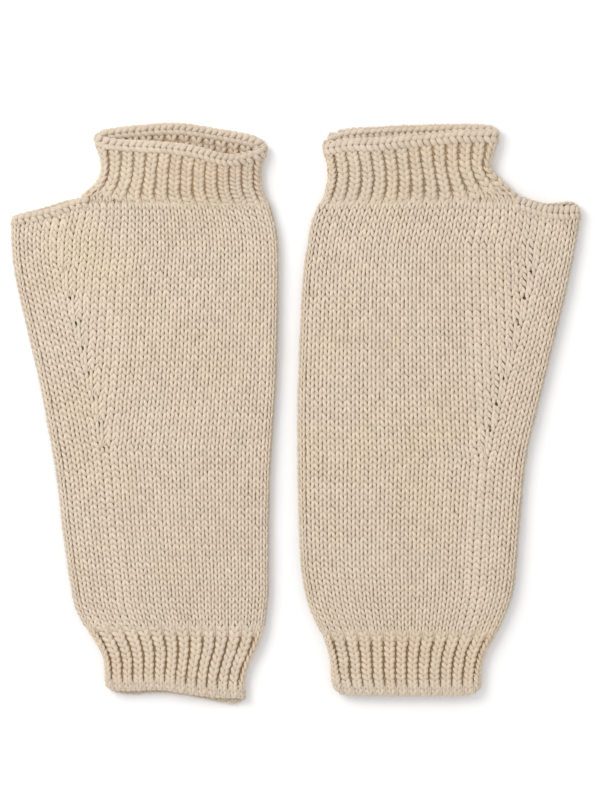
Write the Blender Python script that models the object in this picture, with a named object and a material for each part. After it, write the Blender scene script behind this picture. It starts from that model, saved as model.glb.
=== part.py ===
"""A pair of fingerless knitted gloves that lie flat, side by side.

Each glove is a flattened knitted tube: a back layer flat on the surface below it and a front
layer on top, which meet along the rounded folds at the two sides.  Each layer is made of a hand
in plain knitting, a rib at the wrist, a rib at the fingers and the narrow edges that were cast
on or bound off at the wrist, at the thumb opening and at the finger opening.

Sizes are millimetres.  A glove is described in its own terms: height counts upwards from its
wrist hem and across counts from 0 at the thumb side to 1 at the plain side.
"""
import math
from collections import namedtuple

import bmesh
import bpy

MILLIMETRE = 0.001

# The cloth
WALL = 2.2                # thickness of the knitted wall
SEAM_GAP = 0.3            # space between pieces that are knitted or sewn on to each other
RIB_SEAM_EASE = 0.2       # added where the finger rib's border bends past the hand's
LAYER_GAP = 0.8           # space between the two layers where they lie on each other
RIB_DEPTH = 0.9           # height of a rib above the furrow next to it
EDGE_SWELL = 0.6          # how far a bound-off edge stands out past the rib below it
HAND_EASE = 0.9           # how far the front of the hand stands above its sides
EASE_START = 8.0          # height at which that begins, and the height at which it is full
EASE_FULL = 45.0
EASE_END = 150.0          # height from which it runs out again towards the finger rib
MOUTH_RAMP = 12.0         # distance below the finger rib from which an open mouth lifts
EDGE_ROUNDING = 0.3       # share of the wall by which a knitted edge is thinner at its rims
EDGE_FULLNESS = 0.6       # below 1, the swell of an edge is fuller than half a sine wave
SHARP_ANGLE = 50.0        # degrees, above which an edge between two faces isn't smoothed
RIB_COUNT = 13            # ribs across one layer, at the wrist and at the fingers

# The wrist edge and the wrist rib
EDGE_HEIGHT = 4.0         # the cast-on edge at the wrist
WRIST_RIB_TOP = 25.2      # height at which the wrist rib turns into plain knitting

# How finely the pieces are divided
FOLD_ANGLES = (0.0, 35.0, 65.0, 90.0)       # degrees, round the fold at each side
HAND_COLUMNS = 16
HAND_ROWS = 13
RIB_ROWS = 3
POINTS_PER_RIB = 4
EDGE_ROWS = 3
EDGE_COLUMNS = 11
PLAIN_COLUMNS = 10
SETTLING_STEPS = 4        # rounds in which a point's height and place across are matched

# The cloth's colours, as linear red, green and blue
KNIT_COLOUR = (0.672, 0.552, 0.418)
RIB_COLOUR = (0.630, 0.503, 0.365)
EDGE_COLOUR = (0.700, 0.590, 0.455)
CLOTH_ROUGHNESS = 0.95

# One row of a glove's outline: how far its two sides lie from its middle line
Side = namedtuple("Side", "height thumb_side plain_side")
# One point of a border that runs across a glove
Border = namedtuple("Border", "across height")
# One column of points of a wall: its place across the wall and round the folds
Station = namedtuple("Station", "place fraction angle raised")

LEFT_GLOVE = {
    "name": "left",
    "thumb_direction": -1.0,
    "middle": -47.8,
    "hem": -110.9,
    "hand_sides": (
        Side(-6.0, 27.8, 28.0),
        Side(1.6, 28.4, 27.4),
        Side(6.4, 29.0, 28.2),
        Side(11.2, 29.4, 29.8),
        Side(16.0, 31.0, 32.2),
        Side(20.8, 33.8, 34.2),
        Side(25.6, 37.0, 35.4),
        Side(32.8, 40.6, 36.4),
        Side(40.0, 42.2, 37.0),
        Side(64.0, 45.8, 37.2),
        Side(88.0, 48.6, 37.8),
        Side(126.4, 55.8, 40.2),
        Side(164.8, 64.6, 41.0),
        Side(177.6, 66.1, 40.8),
        Side(185.6, 66.1, 39.8),
        Side(193.6, 65.0, 37.6),
        Side(197.6, 64.6, 35.8),
    ),
    "finger_sides": (
        Side(193.6, 38.8, 37.8),
        Side(197.0, 38.4, 36.0),
        Side(199.4, 36.0, 34.9),
        Side(201.8, 33.4, 34.4),
        Side(204.8, 31.4, 34.2),
        Side(209.2, 30.5, 34.3),
        Side(213.6, 31.1, 35.5),
        Side(217.6, 32.2, 36.0),
        Side(222.8, 33.2, 36.0),
        Side(227.0, 33.0, 35.4),
    ),
    "front_hem": (
        Border(0.00, 1.2), Border(0.05, 0.0), Border(0.14, -0.4), Border(0.38, 0.0),
        Border(0.59, -1.6), Border(0.72, -2.6), Border(0.90, -3.2), Border(1.00, -2.4),
    ),
    "back_hem": (
        Border(0.00, 1.2), Border(0.08, -1.0), Border(0.20, -1.8), Border(0.39, -1.2),
        Border(0.58, -2.2), Border(0.74, -4.0), Border(0.89, -5.4), Border(1.00, -5.0),
    ),
    "hand_top": (
        Border(0.00, 186.4), Border(0.11, 188.4), Border(0.18, 190.8), Border(0.24, 193.0),
        Border(0.29, 194.2), Border(0.34, 194.4), Border(1.00, 194.4),
    ),
    "front_thumb_rim": (Border(0.00, 189.6), Border(0.40, 191.6), Border(1.00, 196.2)),
    "back_thumb_rim": (
        Border(0.00, 189.8), Border(0.40, 192.8), Border(0.80, 196.0), Border(1.00, 196.4),
    ),
    "thumb_edge_end": 39.0,
    "front_rib_top": (
        Border(0.00, 218.2), Border(0.22, 215.6), Border(0.40, 214.6), Border(0.55, 212.8),
        Border(0.72, 210.4), Border(0.83, 209.2), Border(0.94, 210.0), Border(1.00, 212.4),
    ),
    "front_rim": (
        Border(0.00, 221.6), Border(0.16, 220.4), Border(0.40, 219.4), Border(0.58, 217.6),
        Border(0.69, 215.6), Border(0.78, 214.4), Border(0.86, 214.8), Border(1.00, 217.4),
    ),
    "back_rim": (
        Border(0.00, 223.4), Border(0.05, 224.6), Border(0.24, 226.2), Border(0.48, 227.2),
        Border(0.67, 225.4), Border(0.85, 223.2), Border(0.96, 221.0), Border(1.00, 219.2),
    ),
    "mouth_gap": 7.0,
    "mouth_middle": 0.60,
}

RIGHT_GLOVE = {
    "name": "right",
    "thumb_direction": 1.0,
    "middle": 44.2,
    "hem": -113.2,
    "hand_sides": (
        Side(-1.6, 28.6, 27.8),
        Side(2.4, 29.7, 28.8),
        Side(8.8, 30.2, 30.2),
        Side(13.6, 31.0, 30.6),
        Side(18.4, 32.6, 31.8),
        Side(23.2, 35.4, 33.4),
        Side(28.0, 37.8, 35.8),
        Side(35.2, 41.0, 39.0),
        Side(42.4, 43.0, 40.9),
        Side(52.0, 44.2, 42.4),
        Side(76.0, 46.2, 43.4),
        Side(95.2, 48.2, 43.7),
        Side(109.6, 51.4, 43.8),
        Side(128.8, 56.2, 43.4),
        Side(167.2, 65.4, 41.6),
        Side(181.6, 68.2, 39.6),
        Side(189.6, 69.4, 38.1),
        Side(196.0, 69.2, 35.6),
        Side(200.0, 68.6, 33.4),
    ),
    "finger_sides": (
        Side(195.0, 46.4, 36.0),
        Side(199.0, 45.6, 33.7),
        Side(201.6, 43.0, 32.8),
        Side(204.0, 40.4, 32.0),
        Side(207.8, 36.4, 31.4),
        Side(211.6, 34.2, 31.5),
        Side(216.0, 35.0, 32.4),
        Side(220.0, 36.2, 33.2),
        Side(224.0, 37.0, 33.0),
        Side(229.0, 36.6, 31.6),
    ),
    "front_hem": (
        Border(0.00, 2.6), Border(0.05, 0.8), Border(0.16, 0.2), Border(0.50, 0.0),
        Border(0.88, 0.2), Border(0.97, 1.0), Border(1.00, 2.8),
    ),
    "back_hem": (
        Border(0.00, 2.8), Border(0.05, 1.4), Border(0.16, 0.8), Border(0.50, 0.6),
        Border(0.88, 0.8), Border(0.97, 1.4), Border(1.00, 3.0),
    ),
    "hand_top": (
        Border(0.00, 190.8), Border(0.10, 191.2), Border(0.17, 193.2), Border(0.24, 196.0),
        Border(0.30, 197.2), Border(1.00, 197.2),
    ),
    "front_thumb_rim": (
        Border(0.00, 195.8), Border(0.12, 196.6), Border(0.60, 196.4), Border(1.00, 198.6),
    ),
    "back_thumb_rim": (
        Border(0.00, 196.2), Border(0.06, 198.0), Border(0.35, 197.4), Border(0.75, 197.0),
        Border(1.00, 199.0),
    ),
    "thumb_edge_end": 46.8,
    "front_rib_top": (
        Border(0.00, 222.0), Border(0.26, 221.2), Border(0.34, 220.2), Border(0.54, 219.2),
        Border(0.70, 218.0), Border(0.95, 216.6), Border(1.00, 216.8),
    ),
    "front_rim": (
        Border(0.00, 226.0), Border(0.05, 226.9), Border(0.26, 226.7), Border(0.37, 225.8),
        Border(0.54, 224.8), Border(0.70, 223.6), Border(0.89, 223.0), Border(1.00, 220.8),
    ),
    "back_rim": (
        Border(0.00, 227.2), Border(0.04, 228.8), Border(0.35, 229.0), Border(0.68, 228.2),
        Border(0.94, 227.0), Border(1.00, 224.6),
    ),
    "mouth_gap": 2.6,
    "mouth_middle": 0.66,
}


def smooth_value(points, key, field):
    """Value of a table's column at a key, on a curve through its rows."""
    keys = [point[0] for point in points]
    values = [getattr(point, field) for point in points]
    key = min(max(key, keys[0]), keys[-1])
    last = len(points) - 2
    index = next((i for i in range(last) if key < keys[i + 1]), last)
    slopes = []
    for i in (index, index + 1):
        low = max(i - 1, 0)
        high = min(i + 1, len(points) - 1)
        slopes.append((values[high] - values[low]) / (keys[high] - keys[low]))
    span = keys[index + 1] - keys[index]
    t = (key - keys[index]) / span
    return ((2 * t ** 3 - 3 * t ** 2 + 1) * values[index]
            + (t ** 3 - 2 * t ** 2 + t) * span * slopes[0]
            + (3 * t ** 2 - 2 * t ** 3) * values[index + 1]
            + (t ** 3 - t ** 2) * span * slopes[1])


def smooth_step(low, high, value):
    """0 below low, 1 above high and a soft ramp between them."""
    t = min(max((value - low) / (high - low), 0.0), 1.0)
    return t * t * (3 - 2 * t)


def stations(columns, rib_count=0):
    """Columns of a wall, from the thumb side to the plain side.

    raised runs from 1 on the crest of a rib to 0 in the furrow between two ribs.
    """
    row = [Station("thumb_fold", 0.0, angle, 1.0) for angle in FOLD_ANGLES]
    for i in range(1, columns):
        fraction = i / columns
        raised = 1.0
        if rib_count:
            raised = 0.5 - 0.5 * math.cos(2 * math.pi * rib_count * fraction)
        row.append(Station("flat", fraction, 90.0, raised))
    row += [Station("plain_fold", 1.0, angle, 1.0) for angle in reversed(FOLD_ANGLES)]
    return row


class Layer:
    """The front or the back of one glove, as a surface that walls are cut from."""

    def __init__(self, glove, side, sides_key, inner_end=None):
        self.glove = glove
        self.side = side
        self.sides = glove[sides_key]
        self.fold_radius = WALL + LAYER_GAP / 2
        self.inner_end = inner_end

    def limits(self, height):
        """Distances of the two edges from the glove's middle line, thumb side first."""
        thumb = smooth_value(self.sides, height, "thumb_side")
        plain = smooth_value(self.sides, height, "plain_side")
        if self.inner_end is not None:
            plain = -self.inner_end
        return thumb, plain

    def lift(self, across, height):
        """How far the front layer stands up from the back one, besides the layer gap."""
        glove = self.glove
        peak = math.log(0.5) / math.log(glove["mouth_middle"])
        arch = math.sin(math.pi * across ** peak)
        rib_bottom = glove["hand_top"][-1].height
        opening = smooth_step(rib_bottom - MOUTH_RAMP, glove["front_rim"][-1].height, height)
        mouth = (glove["mouth_gap"] - LAYER_GAP) * arch * opening
        hand = smooth_step(EASE_START, EASE_FULL, height)
        hand *= smooth_step(rib_bottom, EASE_END, height)
        return max(mouth, 0.0) + HAND_EASE * hand * math.sin(math.pi * across)

    def point(self, station, across, height, depth):
        """World point at a depth below the layer's outer surface."""
        thumb, plain = self.limits(height)
        radius = self.fold_radius
        angle = math.radians(station.angle)
        inset = radius - (radius - depth) * math.cos(angle)
        flat = thumb + plain - 2 * radius
        if station.place == "thumb_fold":
            offset = thumb - inset
        elif station.place == "plain_fold":
            offset = inset - plain
        else:
            offset = thumb - radius - flat * station.fraction
        rise = (radius - depth) * math.sin(angle) + SEAM_GAP / 2 * math.cos(angle)
        if self.side == "front":
            z = radius + rise + self.lift(across, height) * math.sin(angle)
        else:
            z = radius - rise
        x = self.glove["middle"] + self.glove["thumb_direction"] * offset
        return (x, self.glove["hem"] + height, z)

    def across(self, station, height):
        """Place of a column across the glove, counted along the surface's width."""
        thumb, plain = self.limits(height)
        width = thumb + plain
        inset = self.fold_radius * (1 - math.cos(math.radians(station.angle)))
        if station.place == "thumb_fold":
            return inset / width
        if station.place == "plain_fold":
            return 1 - inset / width
        return (self.fold_radius + (width - 2 * self.fold_radius) * station.fraction) / width


def rolled_depth(part_way):
    """Depth of a knitted edge's outer surface: it swells out, and its rims are round."""
    rim_depth = WALL * EDGE_ROUNDING
    swell = math.sin(math.pi * part_way) ** EDGE_FULLNESS
    return rim_depth - (rim_depth + EDGE_SWELL) * swell


def place_on_wall(layer, station, part_way, lower, upper):
    """Place across and height of a wall's point, part of the way between its borders."""
    height = lower(0.5)
    for _ in range(SETTLING_STEPS):
        across = layer.across(station, height)
        low = lower(across) + SEAM_GAP / 2
        high = upper(across) - SEAM_GAP / 2
        height = low + (high - low) * part_way
    return across, height


def wall_mesh(name, layer, columns, rows, lower, upper, rolled=False):
    """Closed wall between two borders: an outer surface, an inner one and their rims.

    Ribs and a rolled edge are raised in the outer points.  The back layer has neither, so that
    its underside is flat where it rests.
    """
    mesh = bmesh.new()
    outer = []
    inner = []
    for row in range(rows + 1):
        part_way = row / rows
        outer_row = []
        inner_row = []
        for station in columns:
            across, height = place_on_wall(layer, station, part_way, lower, upper)
            sunk = RIB_DEPTH * (1 - station.raised)
            if rolled:
                sunk += rolled_depth(part_way)
            if layer.side == "back":
                sunk = max(sunk, 0.0)
            outer_row.append(mesh.verts.new(layer.point(station, across, height, sunk)))
            inner_row.append(mesh.verts.new(layer.point(station, across, height, WALL)))
        outer.append(outer_row)
        inner.append(inner_row)
    last_column = len(columns) - 1
    for row in range(rows):
        for column in range(last_column):
            for grid in (outer, inner):
                mesh.faces.new((grid[row][column], grid[row][column + 1],
                                grid[row + 1][column + 1], grid[row + 1][column]))
        for column in (0, last_column):
            mesh.faces.new((outer[row][column], outer[row + 1][column],
                            inner[row + 1][column], inner[row][column]))
    for column in range(last_column):
        for row in (0, rows):
            mesh.faces.new((outer[row][column], outer[row][column + 1],
                            inner[row][column + 1], inner[row][column]))
    bmesh.ops.recalc_face_normals(mesh, faces=mesh.faces)
    bmesh.ops.scale(mesh, vec=(MILLIMETRE,) * 3, verts=mesh.verts)
    data = bpy.data.meshes.new(name)
    mesh.to_mesh(data)
    mesh.free()
    return data


def cloth_material(name, colour):
    """Rough, plain knitting yarn."""
    material = bpy.data.materials.new(name)
    material.use_nodes = True
    shader = material.node_tree.nodes["Principled BSDF"]
    shader.inputs["Base Color"].default_value = (*colour, 1.0)
    shader.inputs["Roughness"].default_value = CLOTH_ROUGHNESS
    shader.inputs["Metallic"].default_value = 0.0
    return material


def add_piece(collection, data, material):
    """Put one finished piece in the collection."""
    data.materials.append(material)
    data.shade_smooth()
    data.set_sharp_from_angle(angle=math.radians(SHARP_ANGLE))
    collection.objects.link(bpy.data.objects.new(data.name, data))


def border(points):
    """Height of a border as a function of the place across the glove."""
    return lambda across: smooth_value(points, across, "height")


def level(height):
    """A border that runs straight across."""
    return lambda across: height


def raised_border(points, distance):
    """A border that runs a fixed distance above another one."""
    return lambda across: smooth_value(points, across, "height") + distance


def shared_border(layer, wider_layer, points, distance=0.0):
    """A border that runs a distance above the part of a wider piece's border that it spans."""
    def height_at(across):
        height = points[-1].height
        for _ in range(SETTLING_STEPS):
            thumb, plain = layer.limits(height)
            wide_thumb, wide_plain = wider_layer.limits(height)
            from_thumb = wide_thumb - thumb + across * (thumb + plain)
            height = smooth_value(points, from_thumb / (wide_thumb + wide_plain), "height")
        return height
    return lambda across: height_at(across) + distance


def rib_stations(side):
    """Columns of a ribbed wall: the ribs show on the front layer only."""
    if side == "front":
        return stations(RIB_COUNT * POINTS_PER_RIB, RIB_COUNT)
    return stations(PLAIN_COLUMNS)


def add_wrist(collection, glove, side, materials):
    """The cast-on edge at the wrist and the rib above it."""
    layer = Layer(glove, side, "hand_sides")
    hem = glove[side + "_hem"]
    prefix = glove["name"]
    add_piece(collection,
              wall_mesh(f"{prefix}_wrist_edge_{side}", layer, stations(EDGE_COLUMNS), EDGE_ROWS,
                        border(hem), raised_border(hem, EDGE_HEIGHT), rolled=True),
              materials["edge"])
    add_piece(collection,
              wall_mesh(f"{prefix}_wrist_rib_{side}", layer, rib_stations(side), RIB_ROWS,
                        raised_border(hem, EDGE_HEIGHT), level(WRIST_RIB_TOP)),
              materials["rib"])


def add_hand(collection, glove, side, materials):
    """The plain knitted hand, which widens towards the thumb, and the thumb's edge."""
    prefix = glove["name"]
    layer = Layer(glove, side, "hand_sides")
    add_piece(collection,
              wall_mesh(f"{prefix}_hand_{side}", layer, stations(HAND_COLUMNS), HAND_ROWS,
                        level(WRIST_RIB_TOP), border(glove["hand_top"])),
              materials["knit"])
    thumb = Layer(glove, side, "hand_sides", glove["thumb_edge_end"] + SEAM_GAP)
    add_piece(collection,
              wall_mesh(f"{prefix}_thumb_edge_{side}", thumb, stations(EDGE_COLUMNS), EDGE_ROWS,
                        shared_border(thumb, layer, glove["hand_top"]),
                        border(glove[side + "_thumb_rim"]), rolled=True),
              materials["edge"])


def add_fingers(collection, glove, side, materials):
    """The rib round the fingers and its bound-off edge."""
    prefix = glove["name"]
    layer = Layer(glove, side, "finger_sides")
    hand = Layer(glove, side, "hand_sides")
    rib_bottom = shared_border(layer, hand, glove["hand_top"], RIB_SEAM_EASE)
    rim = border(glove[side + "_rim"])
    if side == "front":
        rib_top = border(glove["front_rib_top"])
    else:
        rib_top = raised_border(glove["back_rim"], -EDGE_HEIGHT)
    add_piece(collection,
              wall_mesh(f"{prefix}_finger_rib_{side}", layer, rib_stations(side), RIB_ROWS,
                        rib_bottom, rib_top),
              materials["rib"])
    add_piece(collection,
              wall_mesh(f"{prefix}_finger_edge_{side}", layer, stations(EDGE_COLUMNS), EDGE_ROWS,
                        rib_top, rim, rolled=True),
              materials["edge"])


def build_gloves():
    """Both gloves, each as a front and a back layer."""
    for item in list(bpy.data.objects):
        bpy.data.objects.remove(item, do_unlink=True)
    collection = bpy.data.collections.new("fingerless_gloves")
    bpy.context.scene.collection.children.link(collection)
    materials = {
        "knit": cloth_material("plain_knitting", KNIT_COLOUR),
        "rib": cloth_material("rib_knitting", RIB_COLOUR),
        "edge": cloth_material("edge_knitting", EDGE_COLOUR),
    }
    for glove in (LEFT_GLOVE, RIGHT_GLOVE):
        for side in ("front", "back"):
            add_wrist(collection, glove, side, materials)
            add_hand(collection, glove, side, materials)
            add_fingers(collection, glove, side, materials)


build_gloves()
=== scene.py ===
import math

import bpy
import numpy as np
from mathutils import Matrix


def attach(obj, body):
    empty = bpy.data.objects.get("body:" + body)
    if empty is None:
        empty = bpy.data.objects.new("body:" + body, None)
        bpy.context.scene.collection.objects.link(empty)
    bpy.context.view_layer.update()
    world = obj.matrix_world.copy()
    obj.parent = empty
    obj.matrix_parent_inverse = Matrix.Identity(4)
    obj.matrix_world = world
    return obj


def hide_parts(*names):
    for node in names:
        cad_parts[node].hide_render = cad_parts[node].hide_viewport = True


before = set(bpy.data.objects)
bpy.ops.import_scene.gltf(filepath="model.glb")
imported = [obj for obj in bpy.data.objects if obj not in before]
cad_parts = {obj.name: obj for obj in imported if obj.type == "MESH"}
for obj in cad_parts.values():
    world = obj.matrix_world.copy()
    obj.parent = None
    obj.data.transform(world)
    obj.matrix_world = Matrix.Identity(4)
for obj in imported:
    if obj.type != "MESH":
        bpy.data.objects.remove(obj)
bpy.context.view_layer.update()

# A pair of fingerless knitted gloves, lying flat, seen from straight above.
# Sizes are millimetres until a point is made. Heights count up from a glove's wrist hem, and
# across runs from 0 at its thumb side to 1 at its plain side.
mm = 0.001

clothSettings = {
    "foldRadius": 2.6,       # outer radius of the folds at the two sides
    "handEase": 0.9,         # how far the front of the hand stands up
    "easeStart": 8.0,
    "easeFull": 45.0,
    "easeEnd": 150.0,
    "mouthRamp": 12.0,       # how far below the finger rib an open mouth begins to lift
    "layerGap": 0.8,
    "wristRibTop": 25.2,
    "rimBlend": 7.0,         # distance from a fold over which front and back rims meet
    "splitBlend": 1.0,       # and to each side of the thumb opening's inner end
    "ribs": 14,              # ribs across one layer, the half ones at the folds added up
    "shellDepth": 1.40,      # middle of the thin shell under the stitches
    "shellThickness": 0.30,
    "shellWave": 0.28,       # how far that shell follows the ribs
    "shellInset": 0.8,       # how far it stops short of an open end
    "handGrid": (44, 48),    # columns and rows of the shells
    "ribGrid": (84, 8),
    "edgeGrid": (60, 2),
}

gloves = {
    "left": {
        "thumbWay": -1.0,
        "middle": -47.8,
        "hem": -110.9,
        # height, thumb side, plain side: distances from the glove's middle line
        "handSides": [
            (-6.0, 27.8, 28.0), (1.6, 28.4, 27.4), (6.4, 29.0, 28.2), (11.2, 29.4, 29.8),
            (16.0, 31.0, 32.2), (20.8, 33.8, 34.2), (25.6, 37.0, 35.4), (32.8, 40.6, 36.4),
            (40.0, 42.2, 37.0), (64.0, 45.8, 37.2), (88.0, 48.6, 37.8), (126.4, 55.8, 40.2),
            (164.8, 64.6, 41.0), (177.6, 66.1, 40.8), (185.6, 66.1, 39.8), (193.6, 65.0, 37.6),
            (197.6, 64.6, 35.8),
        ],
        "fingerSides": [
            (193.6, 38.8, 37.8), (197.0, 38.4, 36.0), (199.4, 36.0, 34.9), (201.8, 33.4, 34.4),
            (204.8, 31.4, 34.2), (209.2, 30.5, 34.3), (213.6, 31.1, 35.5), (217.6, 32.2, 36.0),
            (222.8, 33.2, 36.0), (227.0, 33.0, 35.4),
        ],
        # across, height
        "frontHem": [(0.00, 1.2), (0.05, 0.0), (0.14, -0.4), (0.38, 0.0), (0.59, -1.6),
                     (0.72, -2.6), (0.90, -3.2), (1.00, -2.4)],
        "backHem": [(0.00, 1.2), (0.08, -1.0), (0.20, -1.8), (0.39, -1.2), (0.58, -2.2),
                    (0.74, -4.0), (0.89, -5.4), (1.00, -5.0)],
        "handTop": [(0.00, 186.4), (0.11, 188.4), (0.18, 190.8), (0.24, 193.0), (0.29, 194.2),
                    (0.34, 194.4), (1.00, 194.4)],
        "frontThumbRim": [(0.00, 189.6), (0.40, 191.6), (1.00, 196.2)],
        "backThumbRim": [(0.00, 189.8), (0.40, 192.8), (0.80, 196.0), (1.00, 196.4)],
        "frontRim": [(0.00, 221.6), (0.16, 220.4), (0.40, 219.4), (0.58, 217.6), (0.69, 215.6),
                     (0.78, 214.4), (0.86, 214.8), (1.00, 217.4)],
        "backRim": [(0.00, 223.4), (0.05, 224.6), (0.24, 226.2), (0.48, 227.2), (0.67, 225.4),
                    (0.85, 223.2), (0.96, 221.0), (1.00, 219.2)],
        "thumbEdgeEnd": 39.0,
        "mouthGap": 7.0,
        "mouthMiddle": 0.60,
        "stripWales": 6,         # wales between the line of increases and the thumb side
        "lineWide": 0.12,        # how much wider the wales beside that line are drawn
        "waleDrift": -2.0,       # how far the wales in the middle stray from even spacing
        "openEyelets": 7,
        "bandHeight": 4.8,
        "thumbBandHeight": 3.8,
        "furrowDepth": {"Wrist": 1.38, "Finger": 1.08},
        "firstEyelet": 96.4,
        "eyeletStep": 10.0,
        # share of the hand's height, course height
        "courses": [(0.0, 2.30), (0.2, 2.42), (0.45, 2.58), (0.75, 2.60), (0.85, 2.50),
                    (1.0, 2.48)],
    },
    "right": {
        "thumbWay": 1.0,
        "middle": 44.2,
        "hem": -113.2,
        "handSides": [
            (-1.6, 28.6, 27.8), (2.4, 29.7, 28.8), (8.8, 30.2, 30.2), (13.6, 31.0, 30.6),
            (18.4, 32.6, 31.8), (23.2, 35.4, 33.4), (28.0, 37.8, 35.8), (35.2, 41.0, 39.0),
            (42.4, 43.0, 40.9), (52.0, 44.2, 42.4), (76.0, 46.2, 43.4), (95.2, 48.2, 43.7),
            (109.6, 51.4, 43.8), (128.8, 56.2, 43.4), (167.2, 65.4, 41.6), (181.6, 68.2, 39.6),
            (189.6, 69.4, 38.1), (196.0, 69.2, 35.6), (200.0, 68.6, 33.4),
        ],
        "fingerSides": [
            (195.0, 46.4, 36.0), (199.0, 45.6, 33.7), (201.6, 43.0, 32.8), (204.0, 40.4, 32.0),
            (207.8, 36.4, 31.4), (211.6, 34.2, 31.5), (216.0, 35.0, 32.4), (220.0, 36.2, 33.0),
            (224.0, 37.0, 32.2), (229.0, 36.6, 30.2),
        ],
        "frontHem": [(0.00, 2.6), (0.05, 0.8), (0.16, 0.2), (0.50, 0.0), (0.88, 0.2),
                     (0.97, 1.0), (1.00, 2.8)],
        "backHem": [(0.00, 2.8), (0.05, 1.4), (0.16, 0.8), (0.50, 0.6), (0.88, 0.8),
                    (0.97, 1.4), (1.00, 3.0)],
        "handTop": [(0.00, 190.8), (0.10, 191.2), (0.17, 193.2), (0.24, 196.0), (0.30, 197.2),
                    (1.00, 197.2)],
        "frontThumbRim": [(0.00, 195.6), (0.12, 196.0), (0.60, 195.9), (1.00, 198.4)],
        "backThumbRim": [(0.00, 196.4), (0.06, 198.5), (0.35, 198.0), (0.75, 197.6),
                         (1.00, 199.3)],
        "frontRim": [(0.00, 226.0), (0.05, 226.9), (0.26, 226.7), (0.37, 225.8), (0.54, 224.8),
                     (0.70, 223.6), (0.89, 223.0), (1.00, 220.8)],
        "backRim": [(0.00, 227.2), (0.04, 228.8), (0.35, 229.0), (0.68, 228.2), (0.88, 227.2),
                    (0.95, 225.8), (1.00, 222.4)],
        "thumbEdgeEnd": 46.8,
        "mouthGap": 2.6,
        "mouthMiddle": 0.66,
        "stripWales": 5,
        "lineWide": 0.24,
        "waleDrift": -0.4,
        "openEyelets": 8,
        "bandHeight": 5.4,
        "thumbBandHeight": 5.2,
        "furrowDepth": {"Wrist": 1.12, "Finger": 0.70},
        "firstEyelet": 95.0,
        "eyeletStep": 10.6,
        "courses": [(0.0, 2.26), (0.25, 2.36), (0.5, 2.48), (0.75, 2.56), (1.0, 2.70)],
    },
}


def throughRows(rows, column):       # a smooth curve through one column of a table
    keys = np.array([row[0] for row in rows], float)
    values = np.array([row[column] for row in rows], float)
    slopes = np.empty_like(values)
    slopes[1:-1] = (values[2:] - values[:-2]) / (keys[2:] - keys[:-2])
    slopes[0] = (values[1] - values[0]) / (keys[1] - keys[0])
    slopes[-1] = (values[-1] - values[-2]) / (keys[-1] - keys[-2])

    def at(key):
        key = np.clip(key, keys[0], keys[-1])
        row = np.clip(np.searchsorted(keys, key, side="right") - 1, 0, len(keys) - 2)
        span = keys[row + 1] - keys[row]
        t = (key - keys[row]) / span
        return ((2 * t ** 3 - 3 * t ** 2 + 1) * values[row]
                + (t ** 3 - 2 * t ** 2 + t) * span * slopes[row]
                + (3 * t ** 2 - 2 * t ** 3) * values[row + 1]
                + (t ** 3 - t ** 2) * span * slopes[row + 1])
    return at


def softStep(low, high, value):      # 0 below low, 1 above high
    t = np.clip((value - low) / (high - low), 0.0, 1.0)
    return t * t * (3 - 2 * t)


def unit(vectors):
    return vectors / np.linalg.norm(vectors, axis=-1, keepdims=True)


class Layer:                         # the front or the back of a glove, as a surface
    def __init__(self, glove, side, sidesKey):
        self.glove = glove
        self.front = side == "front"
        self.thumbAt = throughRows(glove[sidesKey], 1)
        self.plainAt = throughRows(glove[sidesKey], 2)
        self.radius = clothSettings["foldRadius"]
        self.quarter = self.radius * math.pi / 2      # arc length of half a fold

    def girth(self, height):         # from the middle of one fold to the middle of the other
        flat = self.thumbAt(height) + self.plainAt(height) - 2 * self.radius
        return flat + 2 * self.quarter

    def splitAt(self, height):       # where along the layer the thumb edge ends
        return self.plainAt(height) + self.glove["thumbEdgeEnd"] - self.radius + self.quarter

    def turns(self, along, height):  # angles round the plain fold and round the thumb fold
        plain = np.clip(along, 0, self.quarter) / self.radius
        thumb = np.clip(self.girth(height) - along, 0, self.quarter) / self.radius
        return plain, thumb

    def offsetAt(self, along, height, depth=0.0):
        plain, thumb = self.turns(along, height)
        flat = np.clip(along - self.quarter, 0, self.girth(height) - 2 * self.quarter)
        reach = self.radius - depth
        return (self.radius - self.plainAt(height) + flat
                + reach * (np.cos(thumb) - np.cos(plain)))

    def acrossAt(self, along, height):
        thumb = self.thumbAt(height)
        return (thumb - self.offsetAt(along, height)) / (thumb + self.plainAt(height))

    def liftAt(self, across, height):  # how far the front stands up from the back
        if not self.front:
            return 0.0
        across = np.clip(across, 0.0, 1.0)
        glove = self.glove
        ribBottom = glove["handTop"][-1][1]
        peak = math.log(0.5) / math.log(glove["mouthMiddle"])
        mouth = (glove["mouthGap"] - clothSettings["layerGap"]) * np.sin(math.pi * across ** peak)
        mouth = mouth * softStep(ribBottom - clothSettings["mouthRamp"],
                                 glove["frontRim"][-1][1], height)
        hand = softStep(clothSettings["easeStart"], clothSettings["easeFull"], height)
        hand = hand * (1 - softStep(clothSettings["easeEnd"], ribBottom, height))
        return mouth + clothSettings["handEase"] * hand * np.sin(math.pi * across)

    def pointAt(self, along, height, depth):          # a point in metres
        plain, thumb = self.turns(along, height)
        turn = np.minimum(plain, thumb)
        rise = (self.radius - depth) * np.sin(turn)
        across = self.acrossAt(along, height)
        x = self.glove["middle"] + self.glove["thumbWay"] * self.offsetAt(along, height, depth)
        y = self.glove["hem"] + height
        if self.front:
            z = self.radius + rise + (self.liftAt(across, height) + ripple(x, y)) * np.sin(turn)
        else:
            z = self.radius - rise
        return np.stack(np.broadcast_arrays(x, y, z), axis=-1) * mm


rippleSettings = {           # the slight waves of cloth that lies loose
    # length, direction, height
    "waves": [(46.0, 0.35, 0.16), (31.0, -0.8, 0.12), (19.0, 1.25, 0.07)],
}


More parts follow.
